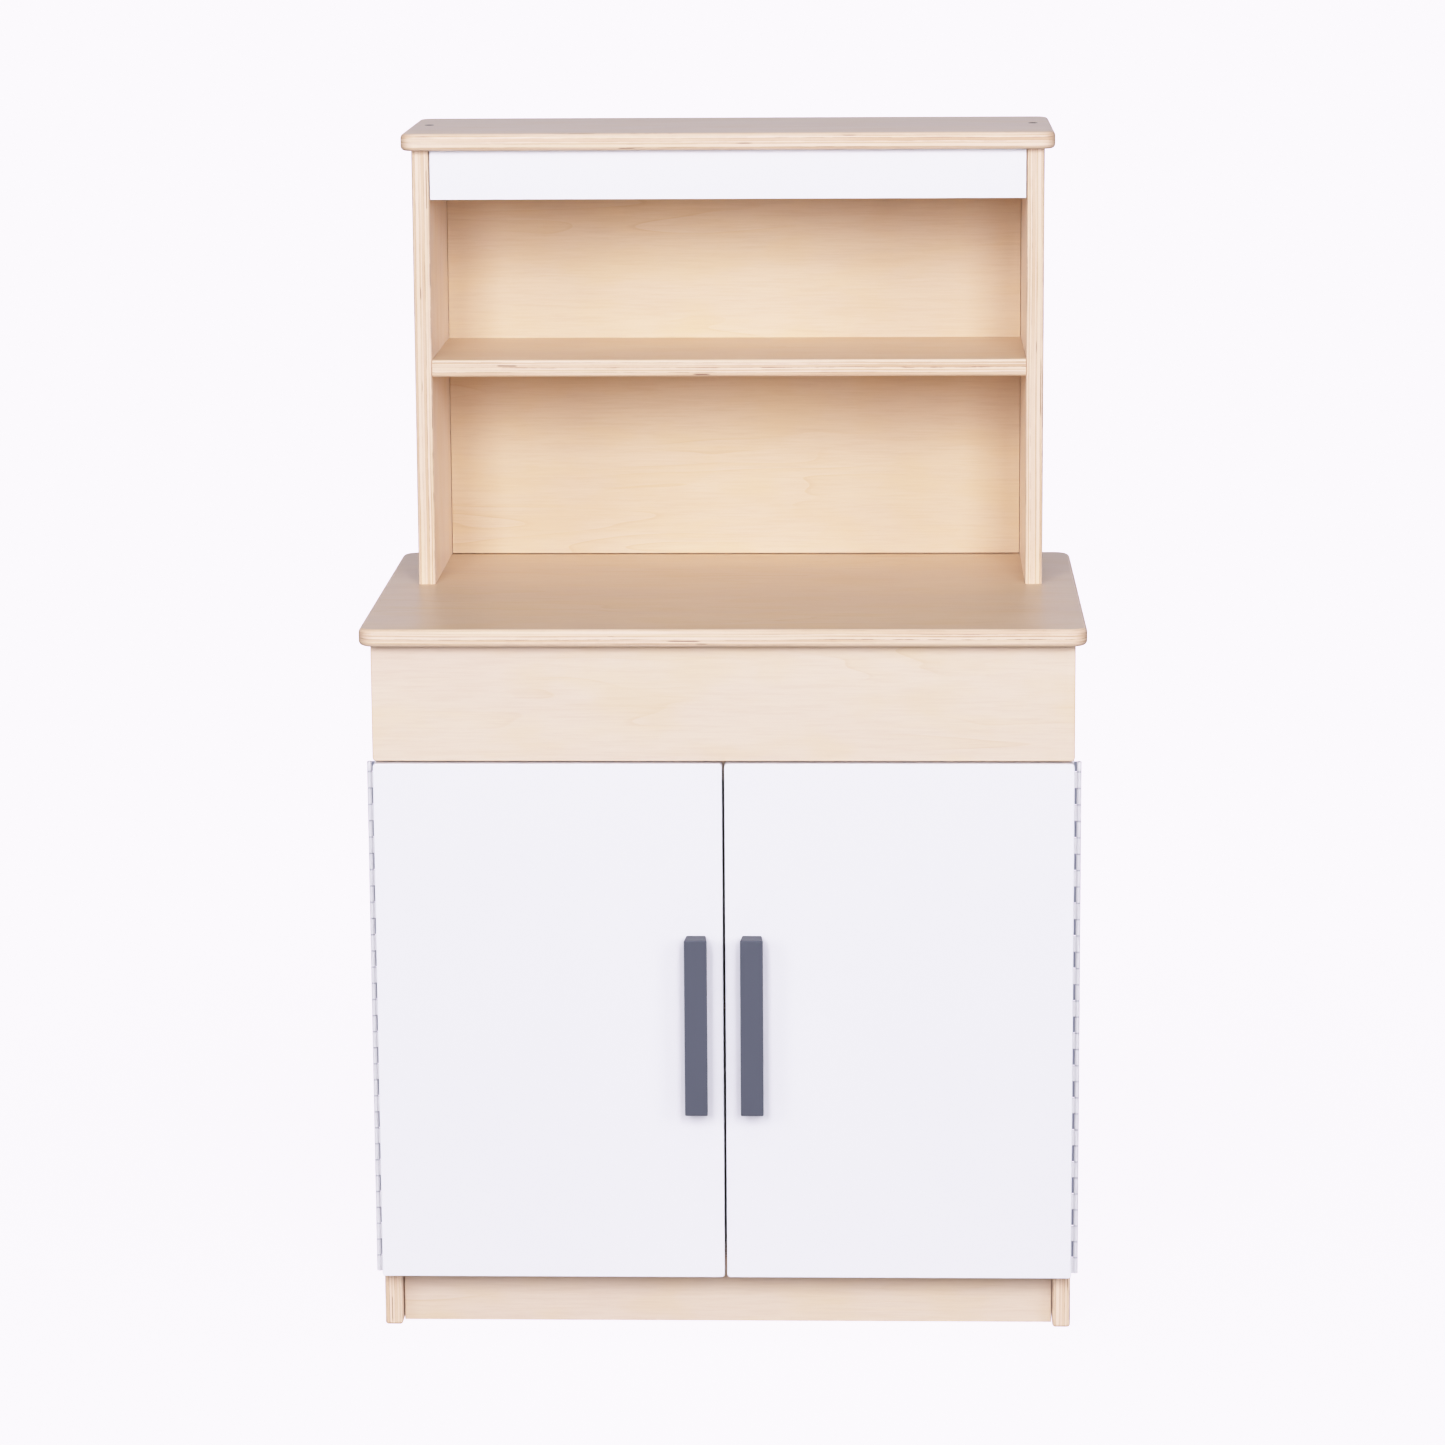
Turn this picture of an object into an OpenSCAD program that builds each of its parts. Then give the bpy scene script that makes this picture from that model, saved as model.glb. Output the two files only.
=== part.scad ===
// Toddler's play-kitchen cupboard with a hutch: birch plywood boards, two white doors on
// full-height continuous hinges, grey bar handles and a white valance under the top board.
// +Z is up, +X is to the right as a child faces the doors, and the doors face -Y.
// The origin is on the floor, at the centre of the whole footprint.

/* [Cupboard] */
// Width of the worktop
worktop_w = 610; // [580:1:660]
// Depth of the worktop
worktop_d = 404; // [380:1:440]
// Height of the worktop's upper face above the floor
worktop_h = 616; // [600:1:640]
// Thickness of the main plywood boards and of the doors
ply_t = 15; // [14:0.5:16]
// Overhang of the worktop past each side panel
worktop_over = 9.5; // [8:0.5:14]
// Height of the plain panel under the worktop's front edge
fascia_h = 100; // [90:1:110]
// Height of the doors
door_h = 450; // [430:1:460]
// Distance of the doors' front faces behind the worktop's front edge
door_setback = 12; // [8:0.5:16]
// Gap between the two doors, and between the doors and the fascia
door_gap = 2; // [1.5:0.5:3]
// Distance of the plinth behind the side panels' front edges
plinth_recess = 11.5; // [8:0.5:20]

/* [Hutch] */
// Outer width of the hutch over its side panels
hutch_w = 549; // [520:1:560]
// Depth of the hutch's side panels
hutch_d = 179; // [150:1:200]
// Height of the hutch's side panels
hutch_h = 382; // [370:1:400]
// Height of the hutch shelf's upper face above the worktop
shelf_rise = 199; // [180:1:210]
// Height of the white valance
valance_h = 43; // [36:1:50]
// Overhang of the top board past each side panel
top_over_side = 9; // [7:0.5:14]
// Overhang of the top board past the side panels' front edges
top_over_front = 11; // [7:0.5:16]

/* [Handles] */
// Length of a bar handle
handle_l = 153; // [140:1:165]
// Width of a bar handle
handle_w = 19.5; // [18:0.5:22]
// Width of a handle where it meets its door
handle_foot_w = 16.5; // [15:0.5:18]
// How far a handle stands out from its door
handle_reach = 18; // [18:0.5:26]
// Thickness of a handle's bar
handle_bar_t = 7; // [6:0.5:8]
// Distance from the cupboard's centre line to a handle's centre line
handle_x = 23.7; // [20:0.1:30]
// Distance between a handle's two screws
handle_pitch = 128; // [120:1:132]

/* [Hinges] */
// Outer diameter of a hinge's barrel
barrel_d = 4; // [3.8:0.1:4.4]
// Diameter of a hinge's pin
hinge_pin_d = 2.2; // [2:0.1:2.4]
// Radial clearance between a pin and the door leaf's knuckles
pin_play = 0.05; // [0.03:0.01:0.08]
// Thickness of a hinge leaf
leaf_t = 0.85; // [0.7:0.05:0.9]
// Length of one knuckle with its gap
knuckle_pitch = 14.2; // [13.5:0.1:15]
// Distance from a door's outer edge to the axis of its hinge
hinge_offset = 4.2; // [4:0.1:5]

/* [Hidden] */
$fn = 48;
overcut = 1;

left = -1;
right = 1;

// Depths: y_front is the worktop's front edge, and the handles reach a little past it.
y_front = -(worktop_d + handle_reach - door_setback) / 2 + handle_reach - door_setback;
y_rear = y_front + worktop_d;
y_door = y_front + door_setback;
y_door_back = y_door + ply_t;
hinge_gap = 2;
y_side = y_door_back + hinge_gap;
y_fascia = y_side - ply_t;
y_plinth = y_side + plinth_recess;
y_hutch = y_rear - hutch_d;
back_t = 9;
back_inset = 4;
y_hutch_back = y_rear - back_inset - back_t;
base_back_t = 6;
y_base_back = y_rear - back_inset - base_back_t;

// Widths
base_w = worktop_w - 2 * worktop_over;
inner_w = base_w - 2 * ply_t;
hutch_inner_w = hutch_w - 2 * ply_t;
door_w = (base_w - door_gap) / 2;

// Heights
z_under_worktop = worktop_h - ply_t;
z_fascia = z_under_worktop - fascia_h;
z_door_top = z_fascia - door_gap;
z_door = z_door_top - door_h;
door_mid_z = z_door + door_h / 2;
bottom_lap = 13;
z_bottom = z_door + bottom_lap;
z_hutch_top = worktop_h + hutch_h;
z_hutch_shelf = worktop_h + shelf_rise - ply_t;
z_valance = z_hutch_top - valance_h;

// Roundings: wide round-overs on the worktop and the top board, light ones elsewhere
corner_r = 14;
top_corner_r = 12;
round_over = 4;
arris_r = 2.5;
panel_corner_r = 3;
panel_edge_r = 2;
shelf_arris_r = 1.5;

// Inner shelf on four pins
shelf_t = 12;
shelf_above_bottom = 210;
z_shelf = z_bottom + shelf_above_bottom;
shelf_side_play = 1;
shelf_front_gap = 30;
shelf_rear_gap = 1;
shelf_pin_d = 5;
shelf_pin_depth = 8;
shelf_pin_reach = 7;
pin_inset = 45;

// Rail behind the fascia that stops the doors and carries the catches
rail_h = 50;
rail_lap = 20;
z_rail = z_fascia - rail_lap;

// Cleats that hold the worktop
cleat = 18;
cleat_l = 280;
cleat_screw_l = 28;
cleat_screw_pitch = 200;

// Plinth board, just clear of the floor and of the side panels
plinth_lift = 1;
plinth_side_play = 0.8;

// Countersunk wood screws. The cross recess is given in head radii.
screw_head_r = 3.1;
screw_shank_r = 1.4;
screw_tip_r = 0.2;
screw_slot = 0.8;
recess_span = 1.1;
recess_depth = 0.9;
hinge_screw_l = 12;
hinge_screws = 7;
hinge_screw_edge = 30;
long_screw_r = 2;
long_screw_head_r = 4;
long_screw_l = 45;
plug_depth = 2.5;
top_screw_setback = 5;
foot_screw_pitch = 110;

// Hinge
leaf_reach = 13;
leaf_edge = 2.4;
leaf_tail = 1;
knuckle_gap = 0.5;
hinge_end = 0.5;
pin_end = 0.2;
hinge_screw_inset = 7.5;
hinge_l = door_h - 2 * hinge_end;
hinge_z = z_door + hinge_end;
hinge_x = base_w / 2 + hinge_offset;
hinge_y = y_door_back + hinge_gap / 2;
leaf_air = hinge_gap / 2 - leaf_t;
hinge_screw_x = base_w / 2 - hinge_screw_inset;

// Magnetic catches on the rail's underside and their strike plates on the doors
catch_x = 46;
catch_w = 46;
catch_d = 15;
catch_h = 13;
catch_screw_bite = 12;
catch_screw_inset = 6;
pole_t = 1.6;
pole_w = 22;
pole_reach = 0.6;
pole_cover = 3;
strike_w = 34;
strike_h = 13;
strike_t = 1.2;
strike_corner_r = 2;

// Handle fixings
handle_leg = 15;
handle_edge_r = 1.2;
handle_corner_r = 2;
handle_gap_r = 4;
m4_r = 2;
m4_clearance_r = 2.25;
m4_head_r = 4;
m4_head_t = 2.6;
m4_head_taper = 0.8;
m4_slot = 1;
m4_slot_depth = 1.5;
m4_bite = 10;

// ---------------------------------------------------------------- shapes

// Rectangle with round corners, centred on the origin
module round_rect(w, h, r) {
    square([w, h - 2 * r], center = true);
    square([w - 2 * r, h], center = true);
    for (sx = [-1, 1], sy = [-1, 1])
        translate([sx * (w / 2 - r), sy * (h / 2 - r)])
            circle(r);
}

// Half outline of a disc with a rounded rim, to be turned about the vertical axis
module rim_outline(disc_r, t, r) {
    square([disc_r - r, t]);
    translate([0, r])
        square([disc_r, t - 2 * r]);
    for (z = [r, t - r])
        translate([disc_r - r, z])
            circle(r);
}

// Flat board with round corners and a round-over along every edge, centred in x and y
module soft_board(w, d, t, plan_r, edge_r) {
    translate([0, 0, t / 2])
        rotate([90, 0, 90])
            linear_extrude(w - 2 * plan_r, center = true)
                round_rect(d, t, edge_r);
    translate([0, 0, t / 2])
        rotate([90, 0, 0])
            linear_extrude(d - 2 * plan_r, center = true)
                round_rect(w, t, edge_r);
    for (sx = [-1, 1], sy = [-1, 1])
        translate([sx * (w / 2 - plan_r), sy * (d / 2 - plan_r), 0])
            rotate_extrude()
                rim_outline(plan_r, t, edge_r);
}

// The same board standing up: w wide, h high, its front face on y = 0
module soft_panel(w, h, t, plan_r, edge_r) {
    translate([0, t, h / 2])
        rotate([90, 0, 0])
            soft_board(w, h, t, plan_r, edge_r);
}

// Outline of a board's end whose two front arrises are rounded; the front is at y = 0
module eased_outline(w, d, r) {
    translate([-w / 2, r])
        square([w, d - r]);
    translate([-w / 2 + r, 0])
        square([w - 2 * r, 2 * r]);
    for (sx = [-1, 1])
        translate([sx * (w / 2 - r), r])
            circle(r);
}

// Board lying flat between two sides, with its front arrises rounded
module lying_board(w, d, t, r) {
    translate([0, 0, t / 2])
        rotate([90, 0, 90])
            linear_extrude(w, center = true)
                rotate(-90)
                    eased_outline(t, d, r);
}

// Countersunk screw along +Z from its point, its head's face on z = length
module wood_screw_body(length, head_r, shank_r) {
    head_t = head_r - shank_r;
    cylinder(h = shank_r * 2, r1 = screw_tip_r, r2 = shank_r);
    translate([0, 0, shank_r * 2])
        cylinder(h = length - head_t - shank_r * 2, r = shank_r);
    translate([0, 0, length - head_t])
        cylinder(h = head_t, r1 = shank_r, r2 = head_r);
}

// Countersunk screw with a cross recess in its head
module wood_screw(length, head_r, shank_r) {
    difference() {
        wood_screw_body(length, head_r, shank_r);
        for (turn = [0, 90])
            translate([0, 0, length])
                rotate(turn)
                    cube([head_r * recess_span, screw_slot, head_r * recess_depth], center = true);
    }
}

// ---------------------------------------------------------------- places of the fixings

// Heights of the hinge screws
function hinge_screw_z(i) =
    hinge_z + hinge_screw_edge + i * (hinge_l - 2 * hinge_screw_edge) / (hinge_screws - 1);

// Screws that hold a hinge's frame leaf to a side panel's front edge
module frame_screw_places(side) {
    for (i = [0 : hinge_screws - 1])
        translate([side * hinge_screw_x, y_side - leaf_t + hinge_screw_l, hinge_screw_z(i)])
            rotate([90, 0, 0])
                children();
}

// Screws that hold a hinge's door leaf to a door's back
module door_screw_places(side) {
    for (i = [0 : hinge_screws - 1])
        translate([side * hinge_screw_x, y_door_back + leaf_t - hinge_screw_l, hinge_screw_z(i)])
            rotate([-90, 0, 0])
                children();
}

// Two long screws down through the top board into the hutch's side panels
module top_screw_places() {
    for (side = [left, right])
        translate([
            side * (hutch_w - ply_t) / 2,
            y_rear - hutch_d / 2 + top_screw_setback,
            z_hutch_top + ply_t - plug_depth - long_screw_l
        ])
            children();
}

// Long screws up through the worktop into the hutch's side panels
module foot_screw_places() {
    for (side = [left, right], sy = [-1, 1])
        translate([
            side * (hutch_w - ply_t) / 2,
            y_rear - hutch_d / 2 + sy * foot_screw_pitch / 2,
            z_under_worktop + long_screw_l
        ])
            rotate([180, 0, 0])
                children();
}

// Screws up through the cleats into the worktop's underside
module cleat_screw_places() {
    for (side = [left, right], sy = [-1, 1])
        translate([
            side * (inner_w - cleat) / 2,
            y_side + (y_base_back - y_side) / 2 + sy * cleat_screw_pitch / 2,
            z_under_worktop - cleat + cleat_screw_l
        ])
            rotate([180, 0, 0])
                children();
}

// The four pins under the inner shelf, pointing in from each side panel
module shelf_pin_places() {
    for (side = [left, right], y = [y_side + shelf_front_gap + pin_inset, y_base_back - pin_inset])
        translate([side * inner_w / 2, y, z_shelf - shelf_pin_d / 2])
            rotate([0, side * 90, 0])
                children();
}

// Screws of the two catches, up into the rail
module catch_screw_places() {
    for (side = [left, right], sx = [-1, 1])
        translate([
            side * catch_x + sx * (catch_w / 2 - catch_screw_inset),
            y_side + catch_d / 2,
            z_rail + catch_screw_bite
        ])
            rotate([180, 0, 0])
                children();
}

// ---------------------------------------------------------------- boards of the cupboard

module worktop() {
    color("#dcc3a4")
        difference() {
            translate([0, (y_front + y_rear) / 2, z_under_worktop])
                soft_board(worktop_w, worktop_d, ply_t, corner_r, round_over);
            foot_screw_places()
                wood_screw_body(long_screw_l, long_screw_head_r, long_screw_r);
            cleat_screw_places()
                wood_screw_body(cleat_screw_l, screw_head_r, screw_shank_r);
        }
}

// Side panel of the cupboard: it stands on the floor and its front end is the foot
module base_side(side) {
    color("#e6cfb4")
        difference() {
            translate([side * (base_w - ply_t) / 2, 0, 0])
                intersection() {
                    translate([0, y_side, 0])
                        linear_extrude(z_under_worktop)
                            eased_outline(ply_t, y_rear - y_side, arris_r);
                    translate([0, y_rear, 0])
                        rotate([90, 0, 0])
                            linear_extrude(y_rear - y_side)
                                eased_outline(ply_t, z_under_worktop, arris_r);
                }
            frame_screw_places(side)
                wood_screw_body(hinge_screw_l, screw_head_r, screw_shank_r);
            shelf_pin_places()
                cylinder(h = shelf_pin_depth, d = shelf_pin_d);
        }
}

module base_left_side() {
    base_side(left);
}

module base_right_side() {
    base_side(right);
}

module base_bottom() {
    color("#e0c8aa")
        translate([-inner_w / 2, y_side, z_bottom])
            cube([inner_w, y_base_back - y_side, ply_t]);
}

module base_back() {
    color("#d8bd9c")
        translate([-inner_w / 2, y_base_back, z_bottom])
            cube([inner_w, base_back_t, z_under_worktop - z_bottom]);
}

module cupboard_shelf() {
    shelf_d = y_base_back - shelf_rear_gap - y_side - shelf_front_gap;
    color("#e0c8aa")
        translate([0, y_side + shelf_front_gap, z_shelf])
            lying_board(inner_w - 2 * shelf_side_play, shelf_d, shelf_t, shelf_arris_r);
}

module shelf_pins() {
    color("#b9bcc0")
        shelf_pin_places()
            translate([0, 0, -shelf_pin_reach])
                cylinder(h = shelf_pin_reach + shelf_pin_depth, d = shelf_pin_d);
}

module front_rail() {
    color("#dcc3a4")
        difference() {
            translate([-inner_w / 2, y_side, z_rail])
                cube([inner_w, ply_t, rail_h]);
            catch_screw_places()
                wood_screw_body(catch_screw_bite + catch_h, screw_head_r, screw_shank_r);
        }
}

module fascia_panel() {
    color("#e3cdb2")
        translate([0, y_fascia, z_fascia])
            soft_panel(base_w, fascia_h, ply_t, panel_corner_r, panel_edge_r);
}

module plinth_board() {
    color("#e0c9ac")
        translate([-inner_w / 2 + plinth_side_play, y_plinth, plinth_lift])
            cube([inner_w - 2 * plinth_side_play, ply_t, z_bottom - plinth_lift]);
}

module worktop_cleats() {
    color("#d9bf9e")
        difference() {
            for (side = [left, right])
                translate([
                    side * (inner_w - cleat) / 2,
                    y_side + (y_base_back - y_side) / 2,
                    z_under_worktop - cleat / 2
                ])
                    cube([cleat, cleat_l, cleat], center = true);
            cleat_screw_places()
                wood_screw_body(cleat_screw_l, screw_head_r, screw_shank_r);
        }
}

module cleat_screws() {
    color("#b9bcc0")
        cleat_screw_places()
            wood_screw(cleat_screw_l, screw_head_r, screw_shank_r);
}

// ---------------------------------------------------------------- boards of the hutch

// Side panel of the hutch, with a rounded front edge
module hutch_side(side) {
    color("#e6cfb4")
        difference() {
            translate([side * (hutch_w - ply_t) / 2, y_hutch, worktop_h])
                linear_extrude(hutch_h)
                    eased_outline(ply_t, hutch_d, arris_r);
            foot_screw_places()
                wood_screw_body(long_screw_l, long_screw_head_r, long_screw_r);
            top_screw_places()
                wood_screw_body(long_screw_l, long_screw_head_r, long_screw_r);
        }
}

module hutch_left_side() {
    hutch_side(left);
}

module hutch_right_side() {
    hutch_side(right);
}

module hutch_back() {
    color("#d8bd9c")
        translate([-hutch_inner_w / 2, y_hutch_back, worktop_h])
            cube([hutch_inner_w, back_t, hutch_h]);
}

module hutch_shelf() {
    color("#e0c8aa")
        translate([0, y_hutch, z_hutch_shelf])
            lying_board(hutch_inner_w, y_hutch_back - y_hutch, ply_t, arris_r);
}

module hutch_valance() {
    color("#f1f1f4")
        translate([-hutch_inner_w / 2, y_hutch, z_valance])
            cube([hutch_inner_w, ply_t, valance_h]);
}

module hutch_top() {
    top_w = hutch_w + 2 * top_over_side;
    top_d = hutch_d + top_over_front;
    color("#dcc3a4")
        difference() {
            translate([0, y_rear - top_d / 2, z_hutch_top])
                soft_board(top_w, top_d, ply_t, top_corner_r, round_over);
            top_screw_places() {
                wood_screw_body(long_screw_l, long_screw_head_r, long_screw_r);
                translate([0, 0, long_screw_l])
                    cylinder(h = plug_depth + overcut, r = long_screw_head_r);
            }
        }
}

module hutch_top_screws() {
    color("#5b4a41")
        top_screw_places()
            wood_screw(long_screw_l, long_screw_head_r, long_screw_r);
}

module hutch_foot_screws() {
    color("#b9bcc0")
        foot_screw_places()
            wood_screw(long_screw_l, long_screw_head_r, long_screw_r);
}

// ---------------------------------------------------------------- hinges

// Knuckles are counted from the bottom; the odd ones belong to the frame leaf, and the
// last one is cut short by the hinge's upper end.
knuckles = ceil(hinge_l / knuckle_pitch);

function knuckle_length(i) = min(knuckle_pitch, hinge_l - i * knuckle_pitch) - knuckle_gap;

// One leaf of a hinge: a flat strip with every second knuckle, lying on side_y, which
// is -1 for the door leaf, in front of the axis, and 1 for the frame leaf, behind it
module hinge_leaf(side, side_y, first, bore_r) {
    strip_end = barrel_d / 2 + leaf_edge;
    leaf_far = hinge_offset + leaf_reach;
    translate([hinge_x * side, hinge_y, hinge_z])
        mirror([side == right ? 1 : 0, 0, 0])
            difference() {
                union() {
                    translate([strip_end, side_y > 0 ? leaf_air : -leaf_air - leaf_t, 0])
                        cube([leaf_far - strip_end, leaf_t, hinge_l]);
                    for (i = [first : 2 : knuckles - 1])
                        translate([0, 0, i * knuckle_pitch]) {
                            cylinder(h = knuckle_length(i), d = barrel_d);
                            translate([0, side_y > 0 ? leaf_air : -leaf_air - leaf_t, 0])
                                cube([strip_end + leaf_tail, leaf_t, knuckle_length(i)]);
                        }
                }
                translate([0, 0, -overcut])
                    cylinder(h = hinge_l + 2 * overcut, r = bore_r);
            }
}

module hinge_frame_leaf(side) {
    color("#e4e4ee")
        difference() {
            hinge_leaf(side, 1, 1, hinge_pin_d / 2);
            frame_screw_places(side)
                wood_screw_body(hinge_screw_l, screw_head_r, screw_shank_r);
        }
}

module hinge_door_leaf(side) {
    color("#e4e4ee")
        difference() {
            hinge_leaf(side, -1, 0, hinge_pin_d / 2 + pin_play);
            door_screw_places(side)
                wood_screw_body(hinge_screw_l, screw_head_r, screw_shank_r);
        }
}

module hinge_pin(side) {
    color("#c9cbd2")
        translate([side * hinge_x, hinge_y, hinge_z + pin_end])
            cylinder(h = hinge_l - 2 * pin_end, d = hinge_pin_d);
}

module left_hinge_frame_leaf() {
    hinge_frame_leaf(left);
}

module right_hinge_frame_leaf() {
    hinge_frame_leaf(right);
}

module left_hinge_pin() {
    hinge_pin(left);
}

module right_hinge_pin() {
    hinge_pin(right);
}

module hinge_frame_screws() {
    color("#e4e4ee")
        for (side = [left, right])
            frame_screw_places(side)
                wood_screw(hinge_screw_l, screw_head_r, screw_shank_r);
}

// ---------------------------------------------------------------- catches

module door_catches() {
    color("#f2f2f2")
        difference() {
            for (side = [left, right])
                translate([side * catch_x - catch_w / 2, y_side, z_rail - catch_h])
                    cube([catch_w, catch_d, catch_h]);
            catch_poles();
            catch_screw_places()
                wood_screw_body(catch_screw_bite + catch_h, screw_head_r, screw_shank_r);
        }
}

// Two steel pole plates in each catch, standing a little out of its front face
module catch_poles() {
    color("#9ea2a8")
        for (side = [left, right], z = [pole_cover, catch_h - pole_cover - pole_t])
            translate([side * catch_x - pole_w / 2, y_side - pole_reach, z_rail - catch_h + z])
                cube([pole_w, catch_d - pole_cover, pole_t]);
}

module catch_screws() {
    color("#b9bcc0")
        catch_screw_places()
            wood_screw(catch_screw_bite + catch_h, screw_head_r, screw_shank_r);
}

// ---------------------------------------------------------------- doors

// Screw holes of a handle, from the door's back
module handle_screw_places(side) {
    for (sz = [-1, 1])
        translate([side * handle_x, y_door_back, door_mid_z + sz * handle_pitch / 2])
            rotate([90, 0, 0])
                children();
}

// The one screw of a strike plate, its head towards the catch
module strike_screw_place(side) {
    translate([
        side * catch_x,
        y_door_back + strike_t - hinge_screw_l,
        z_rail - catch_h / 2
    ])
        rotate([-90, 0, 0])
            children();
}

module door(side) {
    color("#f0f0f4")
        difference() {
            translate([side * (door_gap + door_w) / 2, y_door, z_door])
                soft_panel(door_w, door_h, ply_t, panel_corner_r, panel_edge_r);
            door_screw_places(side)
                wood_screw_body(hinge_screw_l, screw_head_r, screw_shank_r);
            handle_screw_places(side)
                translate([0, 0, -overcut])
                    cylinder(h = ply_t + 2 * overcut, r = m4_clearance_r);
            strike_screw_place(side)
                wood_screw_body(hinge_screw_l, screw_head_r, screw_shank_r);
        }
}

// Side outline of a handle, drawn forwards from the door: a bar on two legs
module handle_outline() {
    gap_l = handle_l - 2 * handle_leg;
    gap_d = handle_reach - handle_bar_t;
    difference() {
        translate([handle_reach / 2, 0])
            round_rect(handle_reach, handle_l, handle_edge_r);
        round_rect(2 * gap_d, gap_l, handle_gap_r);
    }
}

// Plan of a handle, with its front at y = -handle_reach: it narrows towards the door
module handle_taper() {
    polygon([
        [-handle_foot_w / 2, 0],
        [-handle_w / 2, -handle_reach],
        [handle_w / 2, -handle_reach],
        [handle_foot_w / 2, 0],
    ]);
}

// Bar handle with rounded arrises and a finger gap between the bar and the door
module handle(side) {
    color("#686a78")
        difference() {
            translate([side * handle_x, y_door, door_mid_z])
                intersection() {
                    rotate([90, 0, -90])
                        linear_extrude(handle_w, center = true)
                            handle_outline();
                    rotate([90, 0, 0])
                        linear_extrude(handle_reach)
                            round_rect(handle_w, handle_l, handle_corner_r);
                    translate([0, -handle_reach, 0])
                        linear_extrude(handle_l, center = true)
                            eased_outline(handle_w, handle_reach, handle_edge_r);
                    linear_extrude(handle_l, center = true)
                        handle_taper();
                }
            handle_screw_places(side)
                translate([0, 0, ply_t])
                    cylinder(h = m4_bite, r = m4_r);
        }
}

// Machine screws with pan heads on the door's back
module handle_screws(side) {
    color("#b9bcc0")
        handle_screw_places(side) {
            cylinder(h = ply_t + m4_bite, r = m4_r);
            difference() {
                translate([0, 0, -m4_head_t])
                    cylinder(h = m4_head_t, r1 = m4_head_r - m4_head_taper, r2 = m4_head_r);
                for (turn = [0, 90])
                    translate([0, 0, -m4_head_t])
                        rotate(turn)
                            cube([m4_head_r * recess_span, m4_slot, 2 * m4_slot_depth], center = true);
            }
        }
}

module strike_plate(side) {
    color("#b3b6bb")
        difference() {
            translate([
                side * catch_x,
                y_door_back + strike_t,
                z_rail - catch_h / 2
            ])
                rotate([90, 0, 0])
                    linear_extrude(strike_t)
                        round_rect(strike_w, strike_h, strike_corner_r);
            strike_screw_place(side)
                wood_screw_body(hinge_screw_l, screw_head_r, screw_shank_r);
        }
}

module door_screws(side) {
    color("#e4e4ee")
        door_screw_places(side)
            wood_screw(hinge_screw_l, screw_head_r, screw_shank_r);
}

module strike_screw(side) {
    color("#b9bcc0")
        strike_screw_place(side)
            wood_screw(hinge_screw_l, screw_head_r, screw_shank_r);
}

module left_door() {
    door(left);
}

module left_handle() {
    handle(left);
}

module left_handle_screws() {
    handle_screws(left);
}

module left_hinge_door_leaf() {
    hinge_door_leaf(left);
}

module left_hinge_door_screws() {
    door_screws(left);
}

module left_strike_plate() {
    strike_plate(left);
}

module left_strike_screw() {
    strike_screw(left);
}

module right_door() {
    door(right);
}

module right_handle() {
    handle(right);
}

module right_handle_screws() {
    handle_screws(right);
}

module right_hinge_door_leaf() {
    hinge_door_leaf(right);
}

module right_hinge_door_screws() {
    door_screws(right);
}

module right_strike_plate() {
    strike_plate(right);
}

module right_strike_screw() {
    strike_screw(right);
}

// ---------------------------------------------------------------- assembly

worktop();
base_left_side();
base_right_side();
base_bottom();
base_back();
cupboard_shelf();
shelf_pins();
front_rail();
fascia_panel();
plinth_board();
worktop_cleats();
cleat_screws();
hutch_left_side();
hutch_right_side();
hutch_back();
hutch_shelf();
hutch_valance();
hutch_top();
hutch_top_screws();
hutch_foot_screws();
left_hinge_frame_leaf();
right_hinge_frame_leaf();
left_hinge_pin();
right_hinge_pin();
hinge_frame_screws();
door_catches();
catch_poles();
catch_screws();
left_door();
left_handle();
left_handle_screws();
left_hinge_door_leaf();
left_hinge_door_screws();
left_strike_plate();
left_strike_screw();
right_door();
right_handle();
right_handle_screws();
right_hinge_door_leaf();
right_hinge_door_screws();
right_strike_plate();
right_strike_screw();
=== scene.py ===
"""Looks of a toddler's play-kitchen cupboard with a hutch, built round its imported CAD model."""

import math

import bmesh
import bpy
from mathutils import Matrix, Vector


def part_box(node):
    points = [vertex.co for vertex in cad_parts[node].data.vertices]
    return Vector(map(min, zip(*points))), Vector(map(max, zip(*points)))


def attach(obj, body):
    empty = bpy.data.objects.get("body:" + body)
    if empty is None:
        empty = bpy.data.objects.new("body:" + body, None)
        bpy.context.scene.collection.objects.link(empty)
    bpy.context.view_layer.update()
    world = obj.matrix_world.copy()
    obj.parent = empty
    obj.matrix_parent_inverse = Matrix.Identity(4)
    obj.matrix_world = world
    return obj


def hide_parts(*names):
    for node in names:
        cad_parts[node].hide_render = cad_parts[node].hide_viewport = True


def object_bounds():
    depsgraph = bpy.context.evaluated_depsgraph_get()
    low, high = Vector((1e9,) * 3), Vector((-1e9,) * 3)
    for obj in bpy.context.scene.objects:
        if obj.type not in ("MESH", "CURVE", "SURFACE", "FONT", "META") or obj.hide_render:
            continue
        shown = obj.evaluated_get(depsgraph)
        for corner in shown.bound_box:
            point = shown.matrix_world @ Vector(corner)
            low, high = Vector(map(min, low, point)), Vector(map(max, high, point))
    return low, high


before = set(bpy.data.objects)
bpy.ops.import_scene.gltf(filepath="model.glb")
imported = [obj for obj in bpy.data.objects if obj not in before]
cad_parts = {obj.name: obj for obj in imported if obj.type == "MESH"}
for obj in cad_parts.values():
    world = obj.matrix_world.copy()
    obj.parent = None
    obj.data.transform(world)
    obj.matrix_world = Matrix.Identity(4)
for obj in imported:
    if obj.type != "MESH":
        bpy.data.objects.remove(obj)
cad_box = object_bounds()

MM = 0.001
X, Y, Z = 0, 1, 2
CABINET = "cabinet"
SIDES = ("left", "right")


# ---------------------------------------------------------------- camera

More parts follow.
